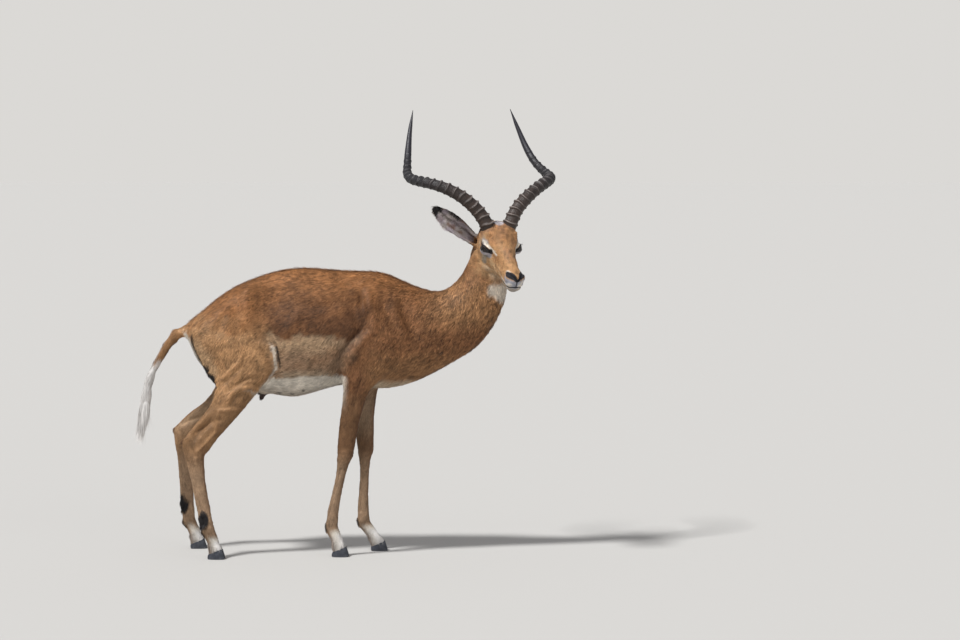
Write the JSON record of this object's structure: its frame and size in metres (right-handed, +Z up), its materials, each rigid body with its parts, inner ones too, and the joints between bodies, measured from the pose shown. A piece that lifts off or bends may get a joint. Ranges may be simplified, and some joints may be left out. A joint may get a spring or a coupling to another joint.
{
  "type": "impala antelope",
  "caption": "Life-size standing male impala antelope with an arched back, raised tail, lyre-shaped ringed horns and its face turned to the right; a still museum model.",
  "frame": {"origin": "on the floor, under the middle of the model's box", "axes": "+Z up; +X runs forward along the body from the tail towards the shoulders; +Y towards the animal's left side"},
  "size_m": [1.2666, 0.521, 1.3344],
  "materials": {
    "coat": "short flat hair over hide, red-brown above, tan on the sides, white below",
    "horn": "ringed grey-brown horn, smooth and darker to the tip",
    "hoof": "blue-black hoof horn, satin",
    "eye": "wet, dark brown"
  },
  "bodies": {
    "root": {"trunk": "coat", "neck": "coat", "head": "coat", "ear_right": "coat", "ear_left": "coat", "foreleg_right": "coat", "foreleg_left": "coat", "hindleg_right": "coat", "hindleg_left": "coat", "tail": "coat", "scrotum": "coat", "horn_right": "horn", "horn_left": "horn", "hoof_fore_right": "hoof", "hoof_fore_left": "hoof", "hoof_hind_right": "hoof", "hoof_hind_left": "hoof", "eye_right": "eye", "eye_left": "eye"}
  },
  "joints": []
}
